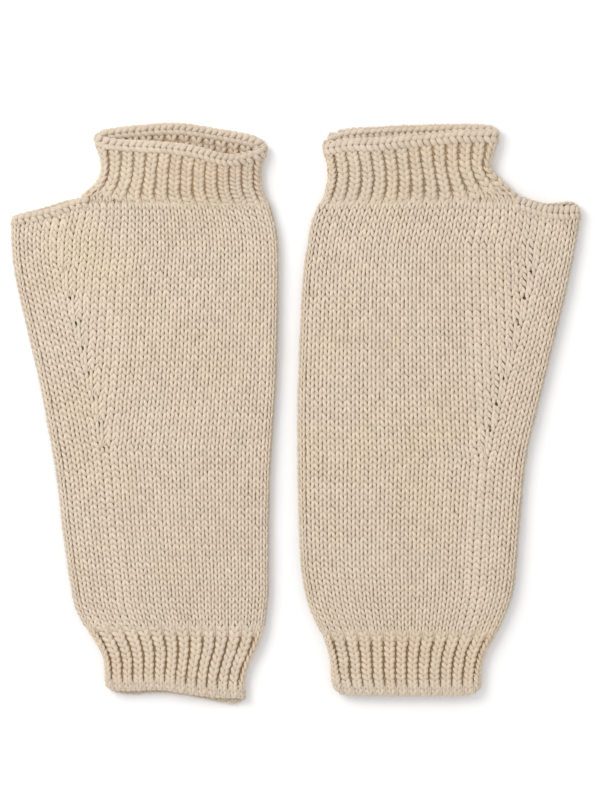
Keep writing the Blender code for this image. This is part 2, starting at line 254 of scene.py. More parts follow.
def ripple(x, y):
    height = 0.0
    for length, direction, size in rippleSettings["waves"]:
        way = x * math.cos(direction) + y * math.sin(direction)
        height = height + size * np.sin(2 * math.pi * way / length)
    return height


def levelBorder(value):
    def at(layer, along, height):
        return value + 0.0 * along
    return at


def pairedRims(glove, frontKey, backKey):      # front and back rims, which meet at the folds
    rowsAt = {True: throughRows(glove[frontKey], 1), False: throughRows(glove[backKey], 1)}

    def at(layer, across, fromFold):
        own = 0.5 + 0.5 * softStep(0.0, clothSettings["rimBlend"], fromFold)
        return own * rowsAt[layer.front](across) + (1 - own) * rowsAt[not layer.front](across)
    return at


def rimBorder(glove, frontKey, backKey, distance=0.0):
    rims = pairedRims(glove, frontKey, backKey)

    def at(layer, along, height):
        fromFold = np.minimum(along, layer.girth(height) - along)
        return rims(layer, layer.acrossAt(along, height), fromFold) + distance
    return at


def handTopBorder(glove, distance=0.0):        # the hand's upper border
    hand = Layer(glove, "front", "handSides")
    topAt = throughRows(glove["handTop"], 1)

    def at(layer, along, height):
        thumb = hand.thumbAt(height)
        across = (thumb - layer.offsetAt(along, height)) / (thumb + hand.plainAt(height))
        return topAt(across) + distance
    return at


def thumbRimBorder(glove, distance=0.0):
    rims = pairedRims(glove, "frontThumbRim", "backThumbRim")

    def at(layer, along, height):
        thumb = layer.thumbAt(height)
        across = (thumb - layer.offsetAt(along, height)) / (thumb - glove["thumbEdgeEnd"])
        return rims(layer, across, layer.girth(height) - along) + distance
    return at


tubeSettings = {
    "rounds": 5,             # rounds that find a place between two sloping borders
    "firstAlong": 30.0,      # and where they start
    "firstHeight": 100.0,
}


def evenShare(layer, share, height):
    return share * layer.girth(height)


class Tube:                          # a stretch of one glove between two borders, all round
    def __init__(self, glove, sidesKey, lower, upper, shareAt=evenShare):
        self.layers = {side: Layer(glove, side, sidesKey) for side in ("front", "back")}
        self.lower = lower
        self.upper = upper
        self.shareAt = shareAt

    def between(self, layer, along, height, partWay):
        low = self.lower(layer, along, height)
        return low + (self.upper(layer, along, height) - low) * partWay

    def settle(self, side, share, partWay):    # distance along the layer, and height
        layer = self.layers[side]
        share, partWay = np.broadcast_arrays(np.asarray(share, float), partWay)
        height = self.lower(layer, share * 0.0 + tubeSettings["firstAlong"],
                            share * 0.0 + tubeSettings["firstHeight"])
        for _ in range(tubeSettings["rounds"]):
            along = self.shareAt(layer, share, height)
            height = self.between(layer, along, height, partWay)
        return self.shareAt(layer, share, height), height

    def place(self, side, share, partWay, depth):
        along, height = self.settle(side, share, partWay)
        return self.layers[side].pointAt(along, height, depth)


def newObject(name, data):
    made = bpy.data.objects.new(name, data)
    bpy.context.scene.collection.objects.link(made)
    return made


def tubeShell(name, tube, grid, middle, thickness, material, wave=0.0):
    # a closed thin shell, the cloth seen between the stitches
    columns, rows = grid
    shares = np.linspace(0.0, 1.0, columns + 1)
    partWay = np.linspace(0.0, 1.0, rows + 1)[:, None]
    middle = middle + wave * np.cos(2 * math.pi * clothSettings["ribs"] * shares)
    grids = []
    for sign in (-1, 1):             # the outer side first, then the inner one
        depth = middle[None, :] + sign * thickness / 2 + 0.0 * partWay
        front = tube.place("front", shares[None, :], partWay, depth)
        back = tube.place("back", shares[None, :], partWay, depth)
        grids.append(np.concatenate([front[:, :-1], back[:, :0:-1]], axis=1))
    around = grids[0].shape[1]
    points = np.concatenate([side.reshape(-1, 3) for side in grids])
    count = around * (rows + 1)
    faces = []
    for row in range(rows):
        for column in range(around):
            a = row * around + column
            b = row * around + (column + 1) % around
            c, d = b + around, a + around
            faces.append((a, b, c, d))
            faces.append((a + count, d + count, c + count, b + count))
    for column in range(around):
        a, b = column, (column + 1) % around
        faces.append((a, a + count, b + count, b))
        a, b = a + rows * around, b + rows * around
        faces.append((a, b, b + count, a + count))
    mesh = bpy.data.meshes.new(name)
    mesh.from_pydata(points.tolist(), [], faces)
    mesh.validate()
    mesh.materials.append(material)
    mesh.shade_smooth()
    shell = newObject(name, mesh)
    turnOutward(shell)
    return shell


def turnOutward(piece):              # a closed mesh whose volume is negative is inside out
    mesh = piece.data
    mesh.calc_loop_triangles()
    corners = np.zeros(len(mesh.vertices) * 3, np.float32)
    mesh.vertices.foreach_get("co", corners)
    corners = corners.reshape(-1, 3).astype(float)
    triangles = np.array([t.vertices for t in mesh.loop_triangles])
    a, b, c = (corners[triangles[:, i]] for i in range(3))
    if np.einsum("ij,ij->", a, np.cross(b, c)) < 0:
        mesh.flip_normals()


class Link:                          # one output of a node, so that maths reads as maths
    def __init__(self, work, socket):
        self.work = work
        self.socket = socket

    def out(self, name):
        return Link(self.work, self.socket.node.outputs[name])

    def maths(self, operation, first, second=0.0):
        return self.work.node("ShaderNodeMath", {0: first, 1: second}, operation=operation)

    def __add__(self, other):
        return self.maths("ADD", self, other)

    def __radd__(self, other):
        return self.maths("ADD", other, self)

    def __sub__(self, other):
        return self.maths("SUBTRACT", self, other)

    def __rsub__(self, other):
        return self.maths("SUBTRACT", other, self)

    def __mul__(self, other):
        return self.maths("MULTIPLY", self, other)

    def __rmul__(self, other):
        return self.maths("MULTIPLY", other, self)

    def sine(self):
        return self.maths("SINE", self)

    def absolute(self):
        return self.maths("ABSOLUTE", self)

    def clamped(self):
        return self.work.node("ShaderNodeClamp", {"Value": self})


class Work:                          # makes the nodes of one tree
    def __init__(self, tree):
        self.tree = tree

    def node(self, kind, values=None, **settings):
        made = self.tree.nodes.new(kind)
        for key, value in settings.items():
            setattr(made, key, value)
        for key, value in (values or {}).items():
            if isinstance(key, int):
                socket = made.inputs[key]
            else:
                socket = next(s for s in made.inputs if s.name == key and s.enabled)
            for item in (value if isinstance(value, list) else [value]):
                if isinstance(item, Link):
                    self.feed(item, socket)
                else:
                    socket.default_value = item
        shown = [s for s in made.outputs if s.enabled]
        return Link(self, shown[0]) if shown else None

    def feed(self, link, socket):
        self.tree.links.new(link.socket, socket)

    def vector(self, x, y, z):
        return self.node("ShaderNodeCombineXYZ", {"X": x, "Y": y, "Z": z})


stitchSettings = {           # one plain stitch, as the V of two legs that shows on the right side
    "Pitch": 3.2,            # width of a wale, and height of a course, that it is drawn for
    "Course": 2.45,
    "Foot Spread": 0.24,     # where a leg starts, beside the middle of its wale
    "Knee Spread": 0.72,
    "Head Spread": 1.32,     # where it ends
    "Lean": 0.26,            # the feet stand this far to one side
    "Foot Drop": 1.30,
    "Knee Drop": 0.15,
    "Head Rise": 2.35,
    "Foot Sunk": 0.45,       # how far its ends dip into the cloth
    "Head Sunk": 0.75,
    "Crown": 0.75,           # how far the middle of a leg bulges out
    "Leg Width": 1.48,
    "End Width": 0.58,       # share of that width left at its ends
}
stitchInputs = [
    ("Anchors", "NodeSocketGeometry"), ("Sides", "NodeSocketInt"), ("Steps", "NodeSocketInt"),
    ("Sway", "NodeSocketFloat"), ("Seed", "NodeSocketInt"), ("Yarn", "NodeSocketMaterial"),
    *((name, "NodeSocketFloat") for name in stitchSettings),
]
stitchVariety = {            # sizes of the smallest and the largest stitch, and the seeds
    "smallest": (0.93, 0.92, 0.84),
    "largest": (1.12, 1.08, 1.18),
    "sizeSeed": 40.0,
    "toneSeed": 80.0,
}


def stitchTree():            # legs of a stitch, set on every anchor point
    tree = bpy.data.node_groups.new("knitStitches", "GeometryNodeTree")
    for name, kind in stitchInputs:
        tree.interface.new_socket(name, in_out="INPUT", socket_type=kind)
    tree.interface.new_socket("Stitches", in_out="OUTPUT", socket_type="NodeSocketGeometry")
    work = Work(tree)
    given = work.node("NodeGroupInput")
    size = given.out

    def randomly(low, high, seed, kind="FLOAT_VECTOR"):      # another value for each stitch
        return work.node("FunctionNodeRandomValue", {"Min": low, "Max": high, "Seed": seed},
                         data_type=kind)

    part = work.node("GeometryNodeSplineParameter")
    bulge = part * (1.0 - part) * 4.0
    width = size("Leg Width") * 0.5 * (size("End Width") + (1.0 - size("End Width")) * bulge)
    ring = work.node("GeometryNodeCurvePrimitiveCircle",
                     {"Resolution": size("Sides"), "Radius": 1.0}, mode="RADIUS")
    outWay, upWay, stretch = (
        work.node("GeometryNodeInputNamedAttribute", {"Name": name}, data_type="FLOAT_VECTOR")
        for name in ("outWay", "upWay", "size"))
    turn = work.node("FunctionNodeAxesToRotation",
                     {"Primary Axis": outWay, "Secondary Axis": upWay},
                     primary_axis="Z", secondary_axis="Y")
    sway = size("Sway")
    least = 0.0 - sway
    legs = []
    for number, way in enumerate((1.0, -1.0)):
        foot = work.vector(size("Foot Spread") * way + size("Lean"), 0.0 - size("Foot Drop"),
                           0.0 - size("Foot Sunk"))
        knee = work.vector(size("Knee Spread") * way, 0.0 - size("Knee Drop"), size("Crown"))
        head = work.vector(size("Head Spread") * way, size("Head Rise"),
                           0.0 - size("Head Sunk"))
        line = work.node("GeometryNodeCurveQuadraticBezier",
                         {"Resolution": size("Steps"), "Start": foot, "Middle": knee,
                          "End": head})
        leg = work.node("GeometryNodeCurveToMesh",
                        {"Curve": line, "Profile Curve": ring, "Scale": width,
                         "Fill Caps": True})
        leg = work.node("GeometryNodeStoreNamedAttribute",
                        {"Geometry": leg, "Name": "stitchPlace",
                         "Value": work.node("GeometryNodeInputPosition")},
                        data_type="FLOAT_VECTOR", domain="POINT")
        seed = size("Seed") * 2.0 + float(number)
        swayed = randomly(work.vector(least, least, least), work.vector(sway, sway, sway), seed)
        swayed = work.node("FunctionNodeEulerToRotation", {"Euler": swayed})
        swayed = work.node("FunctionNodeRotateRotation", {"Rotation": turn, "Rotate By": swayed},
                           rotation_space="LOCAL")
        grown = randomly(stitchVariety["smallest"], stitchVariety["largest"],
                         seed + stitchVariety["sizeSeed"])
        grown = work.node("ShaderNodeVectorMath", {0: stretch, 1: grown}, operation="MULTIPLY")
        placed = work.node("GeometryNodeInstanceOnPoints",
                           {"Points": given, "Instance": leg, "Rotation": swayed,
                            "Scale": grown})
        tone = randomly(-1.0, 1.0, seed + stitchVariety["toneSeed"], "FLOAT")
        legs.append(work.node("GeometryNodeStoreNamedAttribute",
                              {"Geometry": placed, "Name": "tone", "Value": tone},
                              data_type="FLOAT", domain="INSTANCE"))
    both = work.node("GeometryNodeJoinGeometry", {"Geometry": legs})
    real = work.node("GeometryNodeRealizeInstances", {"Geometry": both})
    real = work.node("GeometryNodeSetShadeSmooth", {"Geometry": real})
    real = work.node("GeometryNodeSetMaterial", {"Geometry": real, "Material": size("Yarn")})
    work.node("NodeGroupOutput", {"Stitches": real})
    return tree


stitchLimits = {"high": 2.7, "wide": 4.7}      # a stitch is drawn no larger than this
anchorReach = {              # how far to each side of a stitch its directions are measured
    "course": 0.5,
    "wale": 0.25,
    "depth": 0.4,
}


def anchorsFrom(place, wale, course, depth, outward=1.0, widths=1.0):
    # where stitches sit, which way they face and how large they are
    half, quarter = anchorReach["course"], anchorReach["wale"]
    centre = place(wale, course, depth)
    up = place(wale, course + half, depth) - place(wale, course - half, depth)
    side = place(wale + quarter, course, depth) - place(wale - quarter, course, depth)
    outWay = unit(np.cross(side, up))
    raised = place(wale, course, depth - anchorReach["depth"]) - centre
    outWay = outWay * np.sign(np.sum(outWay * raised, axis=-1, keepdims=True)) * outward
    high = np.linalg.norm(up, axis=-1)
    up = unit(up - outWay * np.sum(up * outWay, axis=-1, keepdims=True))
    wide = np.linalg.norm(side, axis=-1) / (2 * quarter) * widths
    high = np.minimum(high, stitchLimits["high"] * mm)
    wide = np.minimum(wide, stitchLimits["wide"] * mm)
    return {"centre": centre, "outWay": outWay, "upWay": up, "wide": wide, "high": high}


def alongRow(anchors, wide, facing="outWay"):  # stitches turned to lie along their row
    along = np.cross(anchors["upWay"], anchors["outWay"])
    return {"centre": anchors["centre"], "outWay": anchors[facing], "upWay": along,
            "wide": 0.0 * anchors["high"] + wide * mm, "high": anchors["wide"]}


def joinAnchors(*parts):
    return {key: np.concatenate([part[key].reshape(len(part["wide"].ravel()), -1)
                                 for part in parts]) for key in parts[0]}


def makeStitches(name, parts, material, seed, shape=None, sides=6, steps=3, sway=0.07):
    sizes = {**stitchSettings, **(shape or {})}
    anchors = joinAnchors(*parts)
    mesh = bpy.data.meshes.new(name)
    mesh.from_pydata(anchors["centre"].tolist(), [], [])
    size = np.stack([anchors["wide"].ravel() / (sizes["Pitch"] * mm),
                     anchors["high"].ravel() / (sizes["Course"] * mm),
                     np.ones(len(mesh.vertices))], axis=-1)
    for key, values in (("outWay", anchors["outWay"]), ("upWay", anchors["upWay"]),
                        ("size", size)):
        attribute = mesh.attributes.new(key, "FLOAT_VECTOR", "POINT")
        attribute.data.foreach_set("vector", values.astype(np.float32).ravel())
    piece = newObject(name, mesh)
    modifier = piece.modifiers.new("stitches", "NODES")
    modifier.node_group = stitches
    values = {"Sides": sides, "Steps": steps, "Sway": sway, "Seed": seed, "Yarn": material,
              **{key: value * (1.0 if key == "End Width" else mm)
                 for key, value in sizes.items()}}
    for item in stitches.interface.items_tree:
        if item.in_out == "INPUT" and item.name in values:
            modifier[item.identifier] = values[item.name]
    view = bpy.context.evaluated_depsgraph_get()
    view.update()
    made = bpy.data.meshes.new_from_object(piece.evaluated_get(view))
    made.name = name
    places = np.zeros(len(made.vertices) * 3, np.float32)
    made.vertices.foreach_get("co", places)
    places[2::3] = np.maximum(places[2::3], 0.0)      # pressed flat where it rests
    made.vertices.foreach_set("co", places)
    piece.modifiers.remove(modifier)
    piece.data = made
    bpy.data.meshes.remove(mesh)
    return piece


def joinPieces(name, *pieces):
    with bpy.context.temp_override(active_object=pieces[0], object=pieces[0],
                                   selected_objects=list(pieces),
                                   selected_editable_objects=list(pieces)):
        bpy.ops.object.join()
    pieces[0].name = name
    pieces[0].data.name = name
    return pieces[0]


# the light colours are the yarn's own; the deep, dark and under colours are painted shade
yarnSettings = {
    "light": (0.725, 0.612, 0.484),      # where a leg stands out
    "ribLight": (0.700, 0.578, 0.446),
    "edgeLight": (0.665, 0.558, 0.440),
    "shadedDeep": (0.500, 0.382, 0.262),       # painted shade where it dips into the cloth
    "edgeShadedDeep": (0.600, 0.485, 0.360),
    # the edge's cloth between the stitches, painted dark as shade
    "edgeUnderShade": (0.480, 0.365, 0.250),
    "ribShadedDeep": (0.490, 0.348, 0.205),
    "fingerLight": (0.672, 0.554, 0.426),
    "fingerShadedDeep": (0.550, 0.412, 0.275),
    # the finger furrows' yarn colours, darkened as painted shade
    "fingerFurrowShadedLight": (0.545, 0.422, 0.300),
    "fingerFurrowShade": (0.370, 0.258, 0.150),
    "furrowShade": (0.260, 0.165, 0.080),       # and painted shade where it lies in a furrow
    "shade": (0.070, 0.045, 0.028),
    "underShade": (0.235, 0.150, 0.076),      # the cloth seen between the stitches, painted dark as the shade in the gaps
    "ribUnderShade": (0.300, 0.200, 0.105),
    "fingerUnderShade": (0.420, 0.305, 0.190),
    # local heights in a leg over which its painted shade gives way to its own colour
    "shadeDipStart": -0.45,
    "shadeDipEnd": 0.35,
    "toneSpread": 0.055,                 # how far one stitch differs from the next
    "patch": (45.0, 3.0),                # scale and detail of the noise
    "patchSpread": 0.035,
    "hueSpread": 0.022,
    "saturationSpread": 0.38,
    "stain": (28.0, 2.0),
    "fibre": (2600.0, 2.0),
    "fibreSpread": 0.42,
    "plyPitch": 0.55,                    # millimetres between the turns of the ply
    "bumpHeight": 0.10,
    "bumpStrength": 0.6,
    "plyShare": 0.6,                     # shares of ply and fibres in the bump
    "fibreShare": 1.4,
    "plySlant": 0.35,                    # how far the ply leans along a leg
    "plyWander": 3.0,                    # how far the fibres bend it
    "roughness": 0.92,
    "specular": 0.18,
    "sheen": 0.12,
    "sheenRoughness": 0.6,
}
clothLook = {                # the thin cloth under the stitches, whose colours are painted shade
    "grain": (1400.0, 3.0),
    "grainStart": 0.75,
    "grainSpread": 0.5,
    "bumpHeight": 0.20,
    "bumpStrength": 0.7,
    "roughness": 0.95,
    "specular": 0.1,
}


def startMaterial(name, look):
    material = bpy.data.materials.new(name)
    material.use_nodes = True
    shader = material.node_tree.nodes["Principled BSDF"]
    shader.inputs["Roughness"].default_value = look["roughness"]
    shader.inputs["Specular IOR Level"].default_value = look["specular"]
    return material, shader, Work(material.node_tree)


def noiseOn(coords, scale, detail):
    return coords.work.node("ShaderNodeTexNoise",
                            {"Vector": coords, "Detail": detail, "Scale": scale})


def addBump(shader, height, look):
    bump = height.work.node("ShaderNodeBump",
                            {"Height": height, "Strength": look["bumpStrength"],
                             "Distance": look["bumpHeight"] * mm})
    height.work.feed(bump, shader.inputs["Normal"])


def yarnMaterial(name, light, shadedDeep):
    look = yarnSettings
    material, shader, work = startMaterial(name, look)
    shader.inputs["Sheen Weight"].default_value = look["sheen"]
    shader.inputs["Sheen Roughness"].default_value = look["sheenRoughness"]
    coords = work.node("ShaderNodeTexCoord").out("Object")
    local = work.node("ShaderNodeAttribute", attribute_name="stitchPlace").out("Vector")
    parts = work.node("ShaderNodeSeparateXYZ", {"Vector": local})
    x, y, z = (parts.out(axis) * (1 / mm) for axis in "XYZ")
    tone = work.node("ShaderNodeAttribute", attribute_name="tone").out("Fac")
    patch, fibre, stain = (noiseOn(coords, *look[key]) for key in ("patch", "fibre", "stain"))
    # each leg is darker towards its sunk ends: painted shade where it dips into the cloth
    start, end = look["shadeDipStart"], look["shadeDipEnd"]
    raised = ((z - start) * (1 / (end - start))).clamped()
    colour = work.node("ShaderNodeMix",
                       {"Factor": raised, "A": (*look[shadedDeep], 1.0), "B": (*look[light], 1.0)},
                       data_type="RGBA")
    value = (1.0 + tone * look["toneSpread"] + (patch - 0.5) * look["patchSpread"]
             + (fibre - 0.5) * look["fibreSpread"])
    colour = work.node("ShaderNodeHueSaturation",
                       {"Color": colour, "Value": value,
                        "Hue": 0.5 + (patch - 0.5) * look["hueSpread"],
                        "Saturation": 1.0 + (stain - 0.5) * look["saturationSpread"]})
    work.feed(colour, shader.inputs["Base Color"])
    turns = 2 * math.pi / look["plyPitch"]
    ply = ((y * look["plySlant"] + x.absolute()) * turns + fibre * look["plyWander"]).sine()
    addBump(shader, ply * look["plyShare"] + fibre * look["fibreShare"], look)
    return material


def shadedClothMaterial(name, colour):
    look = clothLook
    material, shader, work = startMaterial(name, look)
    grain = noiseOn(work.node("ShaderNodeTexCoord").out("Object"), *look["grain"])
    tint = work.node("ShaderNodeHueSaturation",
                     {"Color": (*yarnSettings[colour], 1.0),
                      "Value": look["grainStart"] + grain * look["grainSpread"]})
    work.feed(tint, shader.inputs["Base Color"])
    addBump(shader, grain, look)
    return material


knitYarn = yarnMaterial("plainKnitYarn", "light", "shadedDeep")
ribYarns = {"Wrist": yarnMaterial("ribYarn", "ribLight", "ribShadedDeep"),
            "Finger": yarnMaterial("fingerRibYarn", "fingerLight", "fingerShadedDeep")}
# the furrows' yarn is a darker copy of the rib yarn: painted shade in the furrows
shadedFurrowYarns = {"Wrist": yarnMaterial("furrowShadedYarn", "shadedDeep", "furrowShade"),
               "Finger": yarnMaterial("fingerFurrowShadedYarn", "fingerFurrowShadedLight", "fingerFurrowShade")}
shadeYarn = yarnMaterial("eyeletShade", "shade", "shade")
edgeYarn = yarnMaterial("edgeYarn", "edgeLight", "edgeShadedDeep")
# the shells between the stitches are coloured dark: painted shade in the gaps
underCloth = shadedClothMaterial("underCloth", "underShade")
shadedRibCloths = {"Wrist": shadedClothMaterial("ribCloth", "ribUnderShade"),
             "Finger": shadedClothMaterial("fingerRibCloth", "fingerUnderShade")}
edgeCloth = shadedClothMaterial("edgeCloth", "edgeUnderShade")
stitches = stitchTree()
print("materials and the stitch tree are made")


def firstOf(side):
    # a wale lies on each fold and is made once: the plain side's by the front layer, the
    # thumb side's by the back one
    return 0 if side == "front" else 1


def gridOf(columns, rows):
    column, row = (grid.ravel() for grid in np.meshgrid(columns, rows))
    return column.astype(float), row.astype(float)


handSettings = {
    "courses": 68,
    "bottomWales": 28,
    "increases": 8,
    "thumbWales": 8,         # wales that end in the thumb edge
    "fingerWales": 28,       # and those that run on into the finger rib
    "legDepth": 0.72,        # depth of the stitches' middle
    "eyeletPush": 0.20,      # how far an eyelet pushes its neighbours apart
    "eyeletReach": 2.0,      # wales over which that fades
    "eyeletSharp": 4.0,      # how sharply it changes sides at the line of increases
    "eyeletRise": 0.6,       # the push is greatest this far above an increase,
    "eyeletTall": 1.6,       # and fades within this height
    "fullWidthAt": 0.45,     # share of the way to the next increase
    "newWaleStart": 0.17,    # and where a new wale's first stitch may lie
    "newWaleWide": 1.16,
    "waleWide": 1.04,        # how far neighbouring wales run into each other
    "eyeletDepth": 0.62,
    "shadeRise": 0.4,        # the shade lies this far above an increase
    "shadeCourse": 2.45,
    "shareSteps": 201,       # steps in which the courses' heights are added up
    "firstHeight": 30.0,     # where the search for a stitch's height begins
    "firstRange": 150.0,
    "fineness": {"front": {"sides": 6, "steps": 3}, "back": {"sides": 4, "steps": 2}},
}
stitchSeeds = {"Hand": 3, "Gusset": 5, "Shade": 6, "Ribs": 7, "Furrows": 8, "Lining": 9,
               "Starts": 10, "Chain": 11, "Rim": 13}
eyeletShape = {"Leg Width": 1.1, "Foot Spread": 0.1, "Knee Spread": 0.2, "Head Spread": 0.1,
               "Lean": 0.0, "Foot Drop": 0.7, "Head Rise": 0.7, "Crown": 0.3,
               "Foot Sunk": 0.3, "Head Sunk": 0.3}


def eyeletAt(glove, number):             # its height
    return glove["firstEyelet"] + glove["eyeletStep"] * number


def grownAt(glove, height):              # wales grown since the first increase, without limits
    return (height - glove["firstEyelet"]) / glove["eyeletStep"]


def waleCount(glove, height):            # wales across a layer, part ones included
    grown = np.clip(grownAt(glove, height), 0, handSettings["increases"])
    return handSettings["bottomWales"] + grown


def newestWale(glove, height):           # how far the newest wale has grown, 0 to 1
    grown = grownAt(glove, height)
    return np.where((grown > 0) & (grown < handSettings["increases"]), grown % 1.0, 0.0)


def shownWidth(grown):                   # a new wale is soon drawn at full width
    return softStep(0.0, handSettings["fullWidthAt"], grown)


def waleAlong(glove, layer, wale, height):      # distance along the layer of a place in wales
    girth = layer.girth(height)
    count = waleCount(glove, height)
    even = wale * girth / count
    even = even + glove["waleDrift"] * np.sin(math.pi * np.clip(even / girth, 0.0, 1.0))
    split = layer.splitAt(height)
    fingers = handSettings["fingerWales"]
    parted = np.where(wale < fingers, wale * split / fingers,
                      split + (wale - fingers) * (girth - split) / handSettings["thumbWales"])
    last = eyeletAt(glove, handSettings["increases"])
    top = softStep(last, glove["handTop"][-1][1], height)
    along = even + (parted - even) * top
    first = 0.0 if layer.front else 1.0
    grown = newestWale(glove, height)
    pitch = girth / count
    line = (count - glove["stripWales"] - 0.5 + first - grown / 2) * pitch
    line = line + glove["waleDrift"] * np.sin(math.pi * line / girth)
    apart = (along - line) / pitch
    push = (shownWidth(grown) - grown) / 2 * pitch
    for number in range(handSettings["increases"]):
        eyelet = eyeletAt(glove, number)
        away = (height - eyelet - handSettings["eyeletRise"]) / handSettings["eyeletTall"]
        push = push + handSettings["eyeletPush"] * np.exp(-away ** 2)
    reach = np.exp(-np.abs(apart) / handSettings["eyeletReach"])
    return along + push * reach * np.tanh(apart * handSettings["eyeletSharp"])


def courseShares(glove):                 # share of the hand's height at which a course lies
    steps = np.linspace(0.0, 1.0, handSettings["shareSteps"])
    pitch = throughRows(glove["courses"], 1)(steps)
    total = np.concatenate([[0.0], np.cumsum((pitch[1:] + pitch[:-1]) / 2)])

    def at(course):
        return np.interp(course / handSettings["courses"], steps, total / total[-1])
    return at


def handPlaces(glove, side, tube, strip):
    layer = tube.layers[side]
    shareOf = courseShares(glove)

    def at(wale, course, depth):
        partWay = shareOf(course)
        height = handSettings["firstHeight"] + handSettings["firstRange"] * partWay
        for _ in range(tubeSettings["rounds"]):
            # the strip's wales are counted from the thumb side, so that they follow it
            place = waleCount(glove, height) - wale if strip else wale
            along = waleAlong(glove, layer, place, height)
            height = tube.between(layer, along, height, partWay)
        return layer.pointAt(along, height, depth)
    return at


def handAnchors(glove, side, tube, strip):
    place = handPlaces(glove, side, tube, strip)
    courses = np.arange(handSettings["courses"]) + 0.5
    depth = handSettings["legDepth"]
    first = firstOf(side)
    old = handSettings["bottomWales"] - glove["stripWales"]
    wales = np.arange(glove["stripWales"]) + 1 - first if strip else np.arange(old) + first
    wale, course = gridOf(wales, courses)
    widths = handSettings["waleWide"] + glove["lineWide"] * (wale == wales[-1])
    parts = [anchorsFrom(place, wale, course, depth, widths=widths)]
    for number in range(0 if strip else handSettings["increases"]):
        edge = old + number + first - 0.5 + 0.0 * courses
        height = place(edge, courses, depth)[..., 1] / mm - glove["hem"]
        grown = np.clip((height - eyeletAt(glove, number)) / glove["eyeletStep"], 0.0, 1.0)
        shown = grown > handSettings["newWaleStart"]
        found = anchorsFrom(place, edge[shown] + grown[shown] / 2, courses[shown], depth)
        pitch = tube.layers[side].girth(height[shown]) / waleCount(glove, height[shown])
        found["wide"] = pitch * shownWidth(grown[shown]) * handSettings["newWaleWide"] * mm
        parts.append(found)
    return parts


def shadeAnchors(glove, tube):           # the shade inside the small holes in front
    layer = tube.layers["front"]
    number = np.arange(glove["openEyelets"])
    height = eyeletAt(glove, number) + handSettings["shadeRise"]
    base = handSettings["bottomWales"] - glove["stripWales"] - 0.5

    def place(wale, course, depth):
        at = height + (course - number) * handSettings["shadeCourse"]
        return layer.pointAt(waleAlong(glove, layer, base + wale, height), at, depth)
    return anchorsFrom(place, number + 0.0, number + 0.0, handSettings["eyeletDepth"])


def knitHand(name, glove, tube):
    pieces = []
    for side, fineness in handSettings["fineness"].items():
        for kind in ("Hand", "Gusset"):
            pieces.append(makeStitches(f"{name}{side.capitalize()}{kind}Stitches",
                                       handAnchors(glove, side, tube, kind == "Gusset"),
                                       knitYarn, stitchSeeds[kind], **fineness))
    pieces.append(makeStitches(name + "EyeletShade", [shadeAnchors(glove, tube)], shadeYarn,
                               stitchSeeds["Shade"], eyeletShape))
    return pieces


ribSettings = {
    "courses": {"Wrist": 10, "Finger": 10},
    "legDepth": 0.80,
    "sway": 0.04,
    "ribWidth": {"Wrist": 0.93, "Finger": 1.02},     # share of a rib's pitch that it covers
    "startWidth": 0.86,      # share of that width with which a rib leaves the hand
    "startReach": 2.0,       # rows in which it reaches full width
    # plain stitches where a furrow begins: row, depth, width
    "starts": [(0.25, 0.90, 0.52), (0.85, 1.10, 0.46), (1.50, 1.40, 0.38)],
    "plainCourses": (0.30, 1.10, 1.90, 2.70, 3.50, 4.30),
    "plainFrom": 10.3,       # from this rib on, plain stitches reach up beside the thumb opening
    "plainRows": 3.7,        # as far as this row at the last one
    "plainClimb": 1.3,
    "plainPitch": 2.6,
    "plainWide": 2.75,
    "plainDepth": 0.72,
    "plainWales": 12,
    "plainShares": (0.5, 1.0, 101),  # where these are looked for: from, to, and in how many steps
    "furrowTall": 0.3,
    "furrowWide": 2.0,
    "insideDepth": 1.60,
    "insideCourses": 5,
    "hiddenCourses": 2,      # rows of lining at the wrist
    "shellDepth": 1.10,
    "overlap": 0.7,          # how far the ribs run on over the hand
    # the finger rib's flare: its even share, the share that grows to the thumb side, the power
    "flare": (0.3, 0.7, 5),
}
ribShape = {"Leg Width": 1.55, "Foot Spread": 0.12, "Knee Spread": 0.70, "Head Spread": 1.10,
            "Lean": 0.26, "Foot Drop": 1.45, "Head Rise": 2.00, "Knee Drop": 0.0,
            "Crown": 0.75, "Foot Sunk": 0.10, "Head Sunk": 0.80, "End Width": 0.55}
ribShapes = {"Wrist": ribShape, "Finger": {**ribShape, "Crown": 0.60, "Leg Width": 1.62}}
furrowShape = {"Leg Width": 1.0, "Foot Spread": 0.0, "Knee Spread": 0.2, "Head Spread": 0.0,
               "Lean": 0.0, "Foot Drop": 1.0, "Head Rise": 1.0, "Knee Drop": 0.0,
               "Crown": 0.6, "Foot Sunk": 0.5, "Head Sunk": 0.5}


def bandPlaces(tube, side, columns, rows):       # places counted in columns and courses
    def at(column, row, depth):
        return tube.place(side, column / columns, row / rows, depth)
    return at


def plainReach(part, column):        # how many rows of plain stitches lie under a rib
    if part != "Finger":
        return 0.0 * column
    span = clothSettings["ribs"] - ribSettings["plainFrom"]
    share = np.clip((column - ribSettings["plainFrom"]) / span, 0.0, 1.0)
    return ribSettings["plainRows"] * share ** ribSettings["plainClimb"]


def plainCorner(tube, side, columns, rows):      # even wales beside the thumb opening
    found = []
    shares = np.linspace(*ribSettings["plainShares"])
    steps = np.arange(firstOf(side), ribSettings["plainWales"]) * ribSettings["plainPitch"]
    for row in ribSettings["plainCourses"]:
        along, height = tube.settle(side, shares, row / rows)
        fromFold = (tube.layers[side].girth(height) - along)[::-1]
        column = np.interp(steps, fromFold, shares[::-1]) * columns
        column = column[row < plainReach("Finger", column)]
        found.append((column, row + 0.0 * column))
    return (np.concatenate(values) for values in zip(*found))


def aboveReach(part, columns, rows):
    column, row = gridOf(columns, rows)
    kept = row >= plainReach(part, column)
    return column[kept], row[kept]


